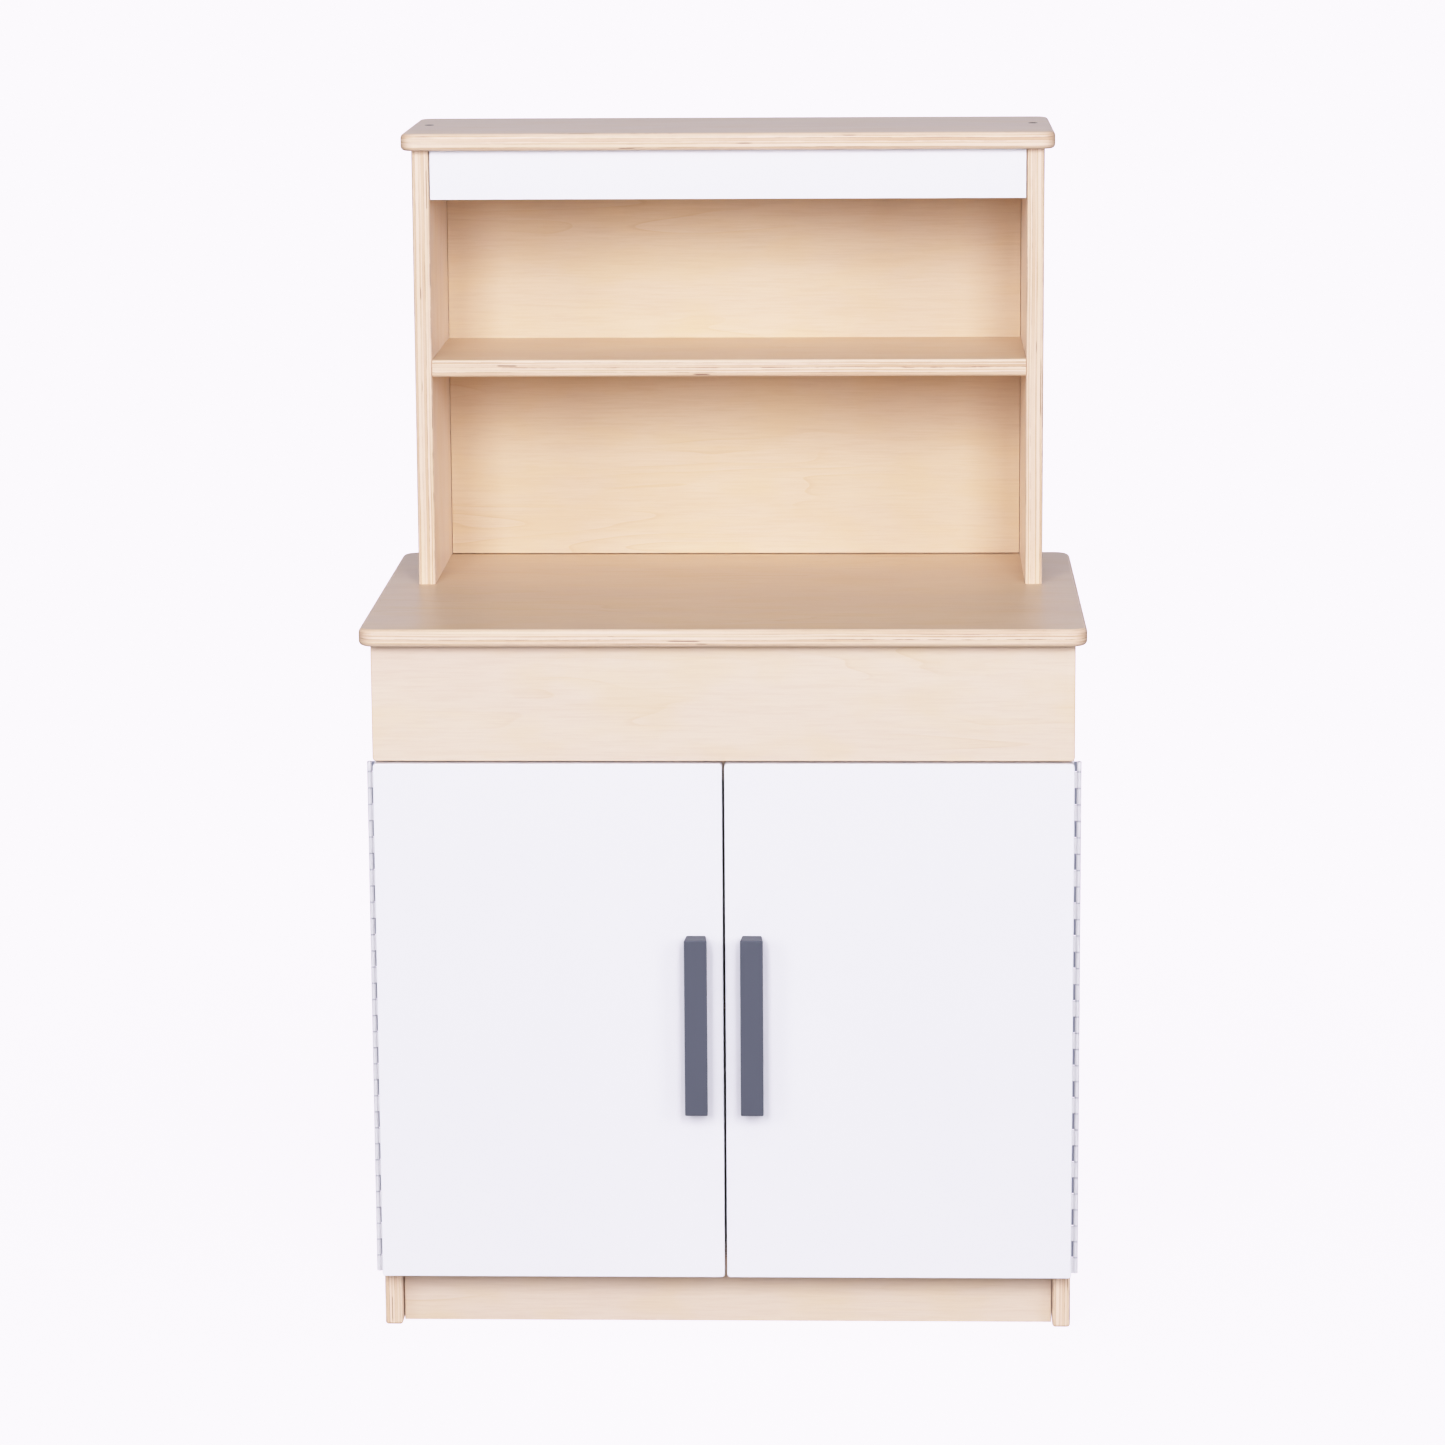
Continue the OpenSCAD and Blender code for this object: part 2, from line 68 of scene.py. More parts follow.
# The camera stands a little to the right of the cupboard and looks slightly down at it.
CAMERA_PLACE = (0.131, -4.0855, 1.317)
CAMERA_PITCH = math.radians(10.54)
CAMERA_YAW = math.radians(-1.92)
CAMERA_ROLL = math.radians(-0.36)
CAMERA_LENS = 118.08
CAMERA_SHIFT_Y = -0.0458
CAMERA_REACH = 200.0


def make_camera():
    """The scene's camera, from its place and its three angles."""
    ahead = Vector((
        math.sin(CAMERA_YAW) * math.cos(CAMERA_PITCH),
        math.cos(CAMERA_YAW) * math.cos(CAMERA_PITCH),
        -math.sin(CAMERA_PITCH),
    ))
    level = Vector((math.cos(CAMERA_YAW), -math.sin(CAMERA_YAW), 0.0))
    upright = level.cross(ahead)
    right = math.cos(CAMERA_ROLL) * level + math.sin(CAMERA_ROLL) * upright
    up = math.cos(CAMERA_ROLL) * upright - math.sin(CAMERA_ROLL) * level
    data = bpy.data.cameras.new("camera")
    data.lens = CAMERA_LENS
    data.shift_y = CAMERA_SHIFT_Y
    data.clip_end = CAMERA_REACH
    camera = bpy.data.objects.new("camera", data)
    turn = Matrix((right, up, -ahead)).transposed().to_4x4()
    camera.matrix_world = Matrix.Translation(CAMERA_PLACE) @ turn
    bpy.context.scene.collection.objects.link(camera)
    bpy.context.scene.camera = camera


# The film answers light with 1 - exp(-(FILM_SPEED * light) ** FILM_CONTRAST), so highlights stay
# soft and pale while shadows keep their colour. Light above FILM_LATITUDE is all one white.
FILM_SPEED = 2.5
FILM_CONTRAST = 1.12
FILM_LATITUDE = 2.4
FILM_STEPS = 16


def develop():
    """Colour management: the film's response as one curve."""
    view = bpy.context.scene.view_settings
    view.view_transform = "Standard"
    view.use_curve_mapping = True
    mapping = view.curve_mapping
    mapping.white_level = (FILM_LATITUDE, FILM_LATITUDE, FILM_LATITUDE)
    mapping.extend = "HORIZONTAL"
    points = mapping.curves[3].points
    for step in range(1, FILM_STEPS + 1):
        share = (step / FILM_STEPS) ** 2
        answer = 1 - math.exp(-(FILM_SPEED * FILM_LATITUDE * share) ** FILM_CONTRAST)
        if step < FILM_STEPS:
            points.new(share, answer)
        else:
            points[-1].location = (share, answer)
    mapping.update()


# ---------------------------------------------------------------- light

STUDIO_TINT = (0.885, 0.862, 1.0)
LIGHT_TARGET = Vector((0.0, 0.0, 0.6))
# Softboxes as (place, width, height, power). The paired ones stand on both sides of the camera.
PAIRED_LIGHTS = {
    "key": ((0.92, -3.4, 1.92), 0.80, 1.7, 48.0),
    "fill": ((2.7, -2.4, 1.4), 1.2, 1.6, 28.0),
}
HIGH_FRONT_LIGHT = ((0.0, -2.6, 2.7), 2.4, 1.9, 24.0)
BACK_LIGHT = ((0.0, 3.6, 0.9), 3.0, 1.4, 36.0)


def softbox(name, place, width, height, power):
    """A rectangular area light, turned towards the middle of the cupboard."""
    data = bpy.data.lights.new(name, "AREA")
    data.shape = "RECTANGLE"
    data.size = width
    data.size_y = height
    data.energy = power
    data.color = STUDIO_TINT
    light = bpy.data.objects.new(name, data)
    light.location = place
    light.rotation_euler = (LIGHT_TARGET - Vector(place)).to_track_quat("-Z", "Y").to_euler()
    light.visible_camera = False
    bpy.context.scene.collection.objects.link(light)
    return light


def make_lights():
    """Two keys and two fills, a light high in front, and one that lights only the back."""
    for side, hand in zip(SIDES, (-1, 1)):
        for name, ((x, y, z), *box) in PAIRED_LIGHTS.items():
            softbox(f"{side} {name}", (hand * x, y, z), *box)
    softbox("high front", *HIGH_FRONT_LIGHT)
    softbox("back", *BACK_LIGHT).visible_glossy = False


# The background that the camera sees, and the softer light that the room throws. The thrown
# light goes from ROOM_BEFORE to ROOM_BEHIND as the direction it comes from turns to the back.
BACKDROP = (0.930, 0.830, 1.0, 1.0)
BACKDROP_GLOW = 1.264
ROOM_BEFORE = 0.01
ROOM_BEHIND = 0.70
ROOM_TURNS = (0.6, 0.97)


def seen_by_camera(tree):
    """1 for what the camera sees directly, 0 for light that reaches it by way of a surface."""
    return tree.nodes.new("ShaderNodeLightPath").outputs["Is Camera Ray"]


def make_room():
    """A plain pale world: it throws more light from behind the cupboard than from before it."""
    world = bpy.data.worlds.new("room")
    world.use_nodes = True
    bpy.context.scene.world = world
    tree = world.node_tree
    tree.nodes.clear()
    shown = tree.nodes.new("ShaderNodeBackground")
    shown.inputs["Color"].default_value = BACKDROP
    shown.inputs["Strength"].default_value = BACKDROP_GLOW
    thrown = tree.nodes.new("ShaderNodeBackground")
    thrown.inputs["Color"].default_value = (*STUDIO_TINT, 1.0)
    direction = tree.nodes.new("ShaderNodeTexCoord").outputs["Generated"]
    axes = tree.nodes.new("ShaderNodeSeparateXYZ")
    tree.links.new(direction, axes.inputs[0])
    strength = tree.nodes.new("ShaderNodeMapRange")
    strength.interpolation_type = "SMOOTHSTEP"
    strength.inputs["From Min"].default_value = ROOM_TURNS[0]
    strength.inputs["From Max"].default_value = ROOM_TURNS[1]
    strength.inputs["To Min"].default_value = ROOM_BEFORE
    strength.inputs["To Max"].default_value = ROOM_BEHIND
    tree.links.new(axes.outputs["Y"], strength.inputs["Value"])
    tree.links.new(strength.outputs[0], thrown.inputs["Strength"])
    choice = tree.nodes.new("ShaderNodeMixShader")
    tree.links.new(seen_by_camera(tree), choice.inputs[0])
    tree.links.new(thrown.outputs[0], choice.inputs[1])
    tree.links.new(shown.outputs[0], choice.inputs[2])
    output = tree.nodes.new("ShaderNodeOutputWorld")
    tree.links.new(choice.outputs[0], output.inputs["Surface"])


# ---------------------------------------------------------------- node helpers

def tone(red, green, blue):
    """Linear colour of a 0-255 display colour."""
    def linear(value):
        value /= 255.0
        return value / 12.92 if value <= 0.04045 else ((value + 0.055) / 1.055) ** 2.4
    return (linear(red), linear(green), linear(blue), 1.0)


class Shading:
    """A material under construction, with short ways to add nodes to it."""

    def __init__(self, name):
        self.material = bpy.data.materials.new(name)
        self.material.use_nodes = True
        self.tree = self.material.node_tree
        self.shader = self.tree.nodes["Principled BSDF"]
        coords = self.tree.nodes.new("ShaderNodeTexCoord")
        self.place = coords.outputs["Object"]
        self.facing = coords.outputs["Normal"]

    def add(self, kind, inputs=None, **settings):
        made = self.tree.nodes.new("ShaderNode" + kind)
        for key, value in settings.items():
            setattr(made, key, value)
        for key, value in (inputs or {}).items():
            self.feed(made.inputs[key], value)
        return made

    def feed(self, socket, value):
        if isinstance(value, bpy.types.NodeSocket):
            self.tree.links.new(value, socket)
        else:
            socket.default_value = value

    def calc(self, operation, *values):
        return self.add("Math", dict(enumerate(values)), operation=operation).outputs[0]

    def times(self, a, b):
        return self.calc("MULTIPLY", a, b)

    def plus(self, a, b):
        return self.calc("ADD", a, b)

    def minus(self, a, b):
        return self.calc("SUBTRACT", a, b)

    def size_of(self, a):
        return self.calc("ABSOLUTE", a)

    def split(self, vector):
        return self.add("SeparateXYZ", {0: vector}).outputs

    def join(self, x, y, z):
        return self.add("CombineXYZ", {0: x, 1: y, 2: z}).outputs[0]

    def scaled(self, scales):
        """The point's place, with its own scale on each axis."""
        place = self.split(self.place)
        return self.join(*(self.times(place[axis], scales[axis]) for axis in (X, Y, Z)))

    def noise(self, vector, scale=1.0, detail=2.0, roughness=0.5):
        inputs = {"Vector": vector, "Scale": scale, "Detail": detail, "Roughness": roughness}
        return self.add("TexNoise", inputs).outputs["Fac"]

    def ramp(self, value, start, end, low=0.0, high=1.0):
        """low where value is start, high where it is end, and a smooth step between them."""
        inputs = {0: value, 1: start, 2: end, 3: low, 4: high}
        return self.add("MapRange", inputs, interpolation_type="SMOOTHSTEP").outputs[0]

    def choose(self, share, first, second):
        """Number that goes from first to second as share goes from 0 to 1."""
        return self.add("Mix", {0: share, 2: first, 3: second}, data_type="FLOAT").outputs[0]

    def blend(self, share, first, second, mode="MIX"):
        """Colour that goes from first to second as share goes from 0 to 1."""
        inputs = {0: share, 6: first, 7: second}
        return self.add("Mix", inputs, data_type="RGBA", blend_type=mode).outputs[2]

    def relief(self, height, depth):
        """Feeds the shader's normal with a bump of that depth in metres."""
        bump = self.add("Bump", {"Height": height, "Distance": depth, "Strength": 1.0})
        self.feed(self.shader.inputs["Normal"], bump.outputs[0])

    def finish(self, **values):
        """Sets the shader's own sockets by their names, with spaces as underscores."""
        for key, value in values.items():
            self.feed(self.shader.inputs[key.replace("_", " ")], value)
        return self.material


# ---------------------------------------------------------------- floor

FLOOR_RADIUS = 60.0
FLOOR_SEGMENTS = 96
FLOOR_SINK = 0.2 * MM
# From CONTACT_RADIUS in to CONTACT_CORE, a growing part of the floor's paleness is real
# reflected light, up to FLOOR_MATT, which leaves a contact shadow. The rest of what the camera
# sees is glow, lowered by FLOOR_LIGHT for each part of matt, so that the floor stays even.
# FLOOR_GLOW_THROWN is what the floor throws on the cupboard for each part of matt.
CONTACT_RADIUS = 1.6
CONTACT_CORE = 0.3
FLOOR_MATT = 0.22
FLOOR_LIGHT = 0.80
FLOOR_GLOW_THROWN = 0.7


def make_floor():
    """A plain pale floor that keeps a faint contact shadow."""
    bm = bmesh.new()
    bmesh.ops.create_circle(bm, cap_ends=True, radius=FLOOR_RADIUS, segments=FLOOR_SEGMENTS)
    mesh = bpy.data.meshes.new("floor")
    bm.to_mesh(mesh)
    bm.free()
    floor = bpy.data.objects.new("floor", mesh)
    floor.location.z = cad_box[0].z - FLOOR_SINK
    bpy.context.scene.collection.objects.link(floor)
    s = Shading("floor")
    distance = s.add("VectorMath", {0: s.place}, operation="LENGTH").outputs["Value"]
    matt = s.ramp(distance, CONTACT_RADIUS, CONTACT_CORE, 0.0, FLOOR_MATT)
    shown = s.minus(BACKDROP_GLOW, s.times(matt, FLOOR_LIGHT))
    glow = s.choose(seen_by_camera(s.tree), s.times(matt, FLOOR_GLOW_THROWN), shown)
    s.finish(Base_Color=s.join(matt, matt, matt), Roughness=1.0, Specular_IOR_Level=0.0)
    s.finish(Emission_Color=BACKDROP, Emission_Strength=glow)
    mesh.materials.append(s.material)


# ---------------------------------------------------------------- birch plywood

PLIES = 9
VENEER_PALE = tone(240, 218, 195)
VENEER_CREAM = tone(236, 207, 166)
VENEER_WARM = tone(229, 199, 161)
VENEER_FLAME = tone(226, 190, 142)
VENEER_COOL = (0.965, 0.957, 0.980, 1.0)
VENEER_LINE = tone(190, 146, 106)
EDGE_PALE = tone(237, 207, 177)
EDGE_END_GRAIN = tone(208, 168, 132)
GLUE_LINE = tone(140, 100, 74)
KNOT_BROWN = tone(96, 62, 42)
# Painted shade on the walls of the top board's screw recesses.
RECESS_SHADE = tone(30, 20, 16)

# Noise scales along and across the grain, per metre.
FLOW = (2.6, 22.0)
RING_GROUPS = (5.0, 14.0)
STREAKS = (24.0, 420.0)
CLOUDS = (14.0, 30.0)
COOL_PATCHES = (3.0, 16.0)
GLUE_WANDER = (9.0, 9.0)
PLY_SHADES = (6.0, 6.0)
PLY_DENSITIES = (4.0, 4.0)
GLUE_TEARS = (55.0, 55.0)
VOIDS = (26.0, 26.0)
FIBRE_LONG = 26.0
FIBRE_FINE = 850.0

# What Shading.ramp() is given: start and end, then the results there if they are not 0 and 1.
EDGE_RAMP = (0.985, 0.90)
RING_FLAME_RAMP = (0.75, 0.0)
RING_LINE_RAMP = (0.12, 0.02)
RING_START_RAMP = (0.0, 0.02)
RING_GROUP_RAMP = (0.46, 0.68)
STREAK_RAMP = (0.40, 0.72, 0.0, 0.16)
CLOUD_RAMP = (0.42, 0.66, 0.0, 0.40)
COOL_RAMP = (0.40, 0.65)
FIBRE_RAMP = (0.30, 0.75, 0.05, 0.0)
PLY_SHADE_RAMP = (0.35, 0.75)
PLY_DENSITY_RAMP = (0.35, 0.65)
GLUE_RAMP = (0.36, 0.45)
GLUE_TEAR_RAMP = (0.42, 0.60, 0.15, 1.0)
VOID_RAMP = (0.745, 0.79)
VOID_THICKNESS_RAMP = (0.34, 0.16)

RINGS = 9.0
FLAME_STRENGTH = 0.45
LINE_STRENGTH = 0.20
VOID_STRENGTH = 0.8
# The least strength, and what the densest plies add to it.
END_GRAIN_STRENGTHS = (0.25, 0.75)
GLUE_STRENGTHS = (0.2, 0.8)
# How far a glue line strays, and how much thicker some plies are than others, in plies.
PLY_STRAY = 0.9
PLY_SWELL = 0.35
PLY_SWELL_STEP = 1.9
PLY_MARGIN = 0.01

# Recesses over the top board's screws.
RECESS_RADIUS = 4 * MM
# The painted shade on the recess walls fades in between these distances from a screw's axis.
RECESS_SHADE_RAMP = (RECESS_RADIUS + 0.4 * MM, RECESS_RADIUS + 0.1 * MM)

# Roughness: the least, and what the fibres add to it.
WOOD_GLOSS = (0.46, 0.12)
WOOD_RELIEF = 0.0012 * MM


class Spot:
    """Where the shaded point lies in a board: along and across the fibres of the face veneer,
    through the board, and in which ply. thin is the axis through the board, and grain is the
    axis of the face veneer's fibres."""

    def __init__(self, s, node, thin, grain, seed):
        lo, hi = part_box(node)
        wide = 3 - thin - grain
        place = s.split(s.place)
        facing = s.split(s.facing)
        self.shading = s
        self.seed = seed
        self.along, self.across, self.through = place[grain], place[wide], place[thin]
        self.end_on = s.size_of(facing[grain])
        self.side_on = s.size_of(facing[wide])
        self.on_edge = s.ramp(s.size_of(facing[thin]), *EDGE_RAMP)
        self.find_ply(s.times(s.minus(self.through, lo[thin]), PLIES / (hi[thin] - lo[thin])))

    def noise(self, scales, phase, **settings):
        """Noise in the plane of the board. Another phase gives another pattern, so the numbers
        that the callers put into it only keep their patterns apart."""
        s = self.shading
        place = s.join(s.times(self.along, scales[0]), s.times(self.across, scales[1]), phase)
        return s.noise(place, **settings)

    def find_ply(self, depth):
        """The ply at a depth, counted in plies: its number, 1 for a cross ply, and how far the
        point is from its middle. On the edges the glue lines stray along the board."""
        s = self.shading
        stray = s.minus(self.noise(GLUE_WANDER, self.seed, detail=1.0), 0.5)
        depth = s.plus(depth, s.times(stray, s.times(self.on_edge, PLY_STRAY)))
        swell = s.calc("SINE", s.plus(s.times(depth, PLY_SWELL_STEP), self.seed))
        depth = s.plus(depth, s.times(swell, s.times(self.on_edge, PLY_SWELL)))
        depth = s.calc("MINIMUM", s.calc("MAXIMUM", depth, PLY_MARGIN), PLIES - PLY_MARGIN)
        self.ply = s.calc("FLOOR", depth)
        self.crossed = s.size_of(s.calc("MODULO", self.ply, 2.0))
        self.off_middle = s.size_of(s.minus(s.calc("FRACT", depth), 0.5))


def fibres(s, spot):
    """Fine fibres: along the grain in the odd plies, and across it in the cross plies."""
    through = s.times(spot.through, FIBRE_FINE)
    straight = s.join(s.times(spot.along, FIBRE_LONG), s.times(spot.across, FIBRE_FINE), through)
    crossed = s.join(s.times(spot.along, FIBRE_FINE), s.times(spot.across, FIBRE_LONG), through)
    turned = s.add("Mix", {0: spot.crossed, 4: straight, 5: crossed}, data_type="VECTOR")
    return s.noise(turned.outputs[1], detail=3.0, roughness=0.65)


def ring_figure(s, spot):
    """Figure of a rotary-cut face: long flat loops, each a thin line that fades to one side,
    which come and go along the board."""
    flow = spot.noise(FLOW, spot.seed, detail=2.0, roughness=0.42)
    ring = s.calc("FRACT", s.times(flow, RINGS))
    shown = s.ramp(spot.noise(RING_GROUPS, spot.seed + 7.7), *RING_GROUP_RAMP)
    flame = s.times(s.ramp(ring, *RING_FLAME_RAMP), shown)
    line = s.times(s.times(s.ramp(ring, *RING_LINE_RAMP), s.ramp(ring, *RING_START_RAMP)), shown)
    return flame, line


def face_veneer(s, spot, warmth, depth_of_tone):
    """Colour of the two faces. warmth goes from 0 for pale to 1 for golden birch, and
    depth_of_tone is the share of its light that the veneer keeps."""
    flame, line = ring_figure(s, spot)
    plain = s.blend(warmth, VENEER_PALE, VENEER_WARM)
    figured = s.blend(warmth, VENEER_CREAM, VENEER_FLAME)
    veneer = s.blend(s.times(flame, FLAME_STRENGTH), plain, figured)
    veneer = s.blend(s.times(line, LINE_STRENGTH), veneer, VENEER_LINE)
    streak = spot.noise(STREAKS, spot.seed, detail=3.0, roughness=0.7)
    veneer = s.blend(s.ramp(streak, *STREAK_RAMP), veneer, VENEER_LINE)
    cloud = spot.noise(CLOUDS, spot.seed + 5.3, detail=3.0)
    veneer = s.blend(s.ramp(cloud, *CLOUD_RAMP), veneer, figured)
    cool = s.blend(1.0, veneer, VENEER_COOL, "MULTIPLY")
    patch = spot.noise(COOL_PATCHES, spot.seed + 3.1, detail=3.0)
    veneer = s.blend(s.ramp(patch, *COOL_RAMP), veneer, cool)
    return s.blend(1.0, veneer, (depth_of_tone, depth_of_tone, depth_of_tone, 1.0), "MULTIPLY")


def ply_layers(s, spot):
    """Colour of the edges: long grain, darker end grain, torn glue lines and small voids in the
    cross plies. Each ply has its own shade."""
    shade = spot.noise(PLY_SHADES, s.times(spot.ply, 3.7))
    pale = s.blend(s.ramp(shade, *PLY_SHADE_RAMP), EDGE_PALE, VENEER_WARM)
    density = s.ramp(spot.noise(PLY_DENSITIES, s.times(spot.ply, 9.1)), *PLY_DENSITY_RAMP)
    least, more = END_GRAIN_STRENGTHS
    end_grain = s.choose(spot.crossed, spot.end_on, spot.side_on)
    end_grain = s.times(end_grain, s.plus(least, s.times(density, more)))
    layers = s.blend(end_grain, pale, EDGE_END_GRAIN)
    least, more = GLUE_STRENGTHS
    torn = spot.noise(GLUE_TEARS, s.times(spot.ply, 4.3), detail=3.0)
    glue = s.times(s.ramp(spot.off_middle, *GLUE_RAMP), s.ramp(torn, *GLUE_TEAR_RAMP))
    glue = s.times(s.times(glue, spot.on_edge), s.plus(least, s.times(density, more)))
    layers = s.blend(glue, layers, GLUE_LINE)
    void = spot.noise(VOIDS, s.plus(s.times(spot.ply, 5.3), spot.seed), detail=0.0)
    gap = s.times(s.ramp(void, *VOID_RAMP), s.ramp(spot.off_middle, *VOID_THICKNESS_RAMP))
    return s.blend(s.times(s.times(gap, spot.crossed), VOID_STRENGTH), layers, KNOT_BROWN)


def paint_recess_shade(s, colour, holes):
    """Painted shade on the walls of the holes drilled down at each (x, y), darkening the recesses where
    shade falls in them.
    """
    place = s.split(s.place)
    level = s.join(place[X], place[Y], 0.0)
    for x, y in holes:
        away = s.add("VectorMath", {0: level, 1: (x, y, 0.0)}, operation="DISTANCE")
        colour = s.blend(s.ramp(away.outputs["Value"], *RECESS_SHADE_RAMP), colour, RECESS_SHADE)
    return colour


def birch_ply(node, thin, grain, seed, warmth=0.35, depth_of_tone=1.0, holes=()):
    """Plywood of birch: a face veneer on the two faces, and the plies on every edge."""
    s = Shading("birch_" + node)
    spot = Spot(s, node, thin, grain, seed)
    fibre = fibres(s, spot)
    veneer = face_veneer(s, spot, warmth, depth_of_tone)
    colour = s.blend(spot.on_edge, veneer, ply_layers(s, spot))
    colour = s.blend(s.ramp(fibre, *FIBRE_RAMP), colour, KNOT_BROWN)
    # Painted shade on the walls of the screw recesses.
    if holes:
        colour = paint_recess_shade(s, colour, holes)
    s.relief(fibre, WOOD_RELIEF)
    s.finish(Base_Color=colour, Roughness=s.plus(WOOD_GLOSS[0], s.times(fibre, WOOD_GLOSS[1])))
    return s.finish(Specular_IOR_Level=0.35, Coat_Weight=0.3, Coat_Roughness=0.25)


# ---------------------------------------------------------------- batten, paint and metal

BATTEN_FINE = 420.0
BATTEN_LONG = 12.0
BATTEN_BROAD = 1 / 8
BATTEN_SHADE_RAMP = (0.3, 0.7)
BATTEN_FIBRE_RAMP = (0.30, 0.75, 0.25, 0.0)
BATTEN_GLOSS = (0.5, 0.2)
BATTEN_RELIEF = 0.03 * MM

PAINT_CLOUD = 9.0
PAINT_PEEL = 900.0
PAINT_DUST = 2600.0
PAINT_DUST_SHARE = 0.3
PAINT_CLOUD_RAMP = (0.25, 0.8, 0.0, 0.6)
PAINT_GLOSS_SPREAD = 0.08

METAL_CLOUD = 160.0
METAL_CLOUD_RAMP = (0.3, 0.8)
METAL_SHADE = 0.72
# What is added to the roughness everywhere, and what the scratches add to it.
METAL_GLOSS = (-0.05, 0.14)
METAL_RELIEF = 0.004 * MM
BRUSHED_UP = (60.0, 60.0, 1200.0)
BRUSHED_ACROSS = (900.0, 60.0, 60.0)


def solid_wood(name, grain):
    """Plain sawn batten, without plies."""
    s = Shading(name)
    scales = [BATTEN_FINE, BATTEN_FINE, BATTEN_FINE]
    scales[grain] = BATTEN_LONG
    fibre = s.noise(s.scaled(scales), detail=3.0)
    broad = s.noise(s.scaled([scale * BATTEN_BROAD for scale in scales]), detail=2.0)
    colour = s.blend(s.ramp(broad, *BATTEN_SHADE_RAMP), VENEER_PALE, VENEER_WARM)
    colour = s.blend(s.ramp(fibre, *BATTEN_FIBRE_RAMP), colour, KNOT_BROWN)
    s.relief(fibre, BATTEN_RELIEF)
    gloss = s.plus(BATTEN_GLOSS[0], s.times(fibre, BATTEN_GLOSS[1]))
    return s.finish(Base_Color=colour, Roughness=gloss)


def satin_paint(name, body_tone, shade_tone, roughness, stipple, shine=0.35, shade_mask=None):
    """Sprayed satin paint: a faint cloudiness, and an orange peel as deep as stipple. The
    optional mask gives the share of painted shade at the point, in a grey steel tone."""
    s = Shading(name)
    cloud = s.noise(s.place, scale=PAINT_CLOUD, detail=3.0)
    peel = s.noise(s.place, scale=PAINT_PEEL, detail=2.0)
    dust = s.noise(s.place, scale=PAINT_DUST, detail=1.0)
    colour = s.blend(s.ramp(cloud, *PAINT_CLOUD_RAMP), body_tone, shade_tone)
    # Painted shade, in a grey steel tone, wherever the mask asks for it.
    if shade_mask:
        colour = s.blend(shade_mask(s), colour, HINGE_SHADE_TONE)
    s.relief(s.plus(peel, s.times(dust, PAINT_DUST_SHARE)), stipple)
    gloss = s.plus(roughness - PAINT_GLOSS_SPREAD / 2, s.times(cloud, PAINT_GLOSS_SPREAD))
    return s.finish(Base_Color=colour, Roughness=gloss, Specular_IOR_Level=shine)


def metal(name, body_tone, roughness, brushed=BRUSHED_UP):
    """Plated steel, cloudy, with fine scratches."""
    s = Shading(name)
    scratch = s.noise(s.scaled(brushed), detail=3.0, roughness=0.6)
    cloud = s.noise(s.place, scale=METAL_CLOUD, detail=2.0)
    darker = tuple(value * METAL_SHADE for value in body_tone[:3]) + (1.0,)
    colour = s.blend(s.ramp(cloud, *METAL_CLOUD_RAMP), body_tone, darker)
    s.relief(scratch, METAL_RELIEF)
    gloss = s.plus(roughness + METAL_GLOSS[0], s.times(scratch, METAL_GLOSS[1]))
    return s.finish(Base_Color=colour, Roughness=gloss, Metallic=1.0)


# ---------------------------------------------------------------- painted shade on the hinges

# Grey steel tone of the shade painted into the hinges' slit and along their knuckle joints.
HINGE_SHADE_TONE = tone(136, 140, 152)
KNUCKLE_PITCH = 14.2 * MM
KNUCKLE_GAP = 0.5 * MM
# Painted shade at a knuckle joint: it grows from nothing to its strength as the joint comes near.
JOINT_SHADE_RAMP = (0.8 * MM, 0.5 * MM, 0.0, 0.4)
SLIT_FADE = 0.1 * MM
DOOR_EDGE_FADE = 0.3 * MM
# How far in from a hinge's outermost line the painted shade in the slit begins and is full, in barrel
# radii.
SLIT_FROM_OUTSIDE = (1.8, 1.9)


def beside_door(s):
    """1 on the part of a hinge that lies outside the doors' outer edges."""
    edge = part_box("right_door")[1].x
    return s.ramp(s.size_of(s.split(s.place)[X]), edge - DOOR_EDGE_FADE, edge)


def painted_joint_shade(s):
    """Painted shade along the joints between the knuckles of a hinge, outside the doors' edges."""
    first_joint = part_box("right_hinge_door_leaf")[0].z - KNUCKLE_GAP / 2
    turns = s.times(s.minus(s.split(s.place)[Z], first_joint), 1 / KNUCKLE_PITCH)
    away = s.size_of(s.minus(s.calc("FRACT", s.plus(turns, 0.5)), 0.5))
    return s.times(s.ramp(s.times(away, KNUCKLE_PITCH), *JOINT_SHADE_RAMP), beside_door(s))


def painted_slit_shade(s):
    """Painted shade, in a grey steel tone, where the frame's knuckles run back into the slit beside
    the door, and along the joints between the knuckles."""
    lo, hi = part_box("right_hinge_frame_leaf")
    radius = (hi.y - lo.y) / 2
    place = s.split(s.place)
    behind = s.ramp(place[Y], lo.y + radius, lo.y + radius + SLIT_FADE)
    begins, full = (hi.x - radii * radius for radii in SLIT_FROM_OUTSIDE)
    slit = s.times(behind, s.ramp(s.size_of(place[X]), begins, full))
    return s.calc("MAXIMUM", s.times(slit, beside_door(s)), painted_joint_shade(s))


# ---------------------------------------------------------------- meshes

CORNER_STEPS = 10
ROUND_STEPS = 6
EASE = 0.4 * MM
EASE_STEPS = 2
SHARP = math.radians(50)
STRAIGHT = 0.999
SAME_PLACE = 1e-6
HOLE_SEGMENTS = 32
# Of faces at the same depth, the one with the larger area counts as further forward.
LARGER_FIRST = 1e-3


def block(lo, hi):
    """Six-sided bmesh between two corners."""
    bm = bmesh.new()
    bmesh.ops.create_cube(bm, size=1.0)
    size = hi - lo
    bmesh.ops.scale(bm, vec=size, verts=bm.verts)
    bmesh.ops.translate(bm, vec=lo + size / 2, verts=bm.verts)
    return bm


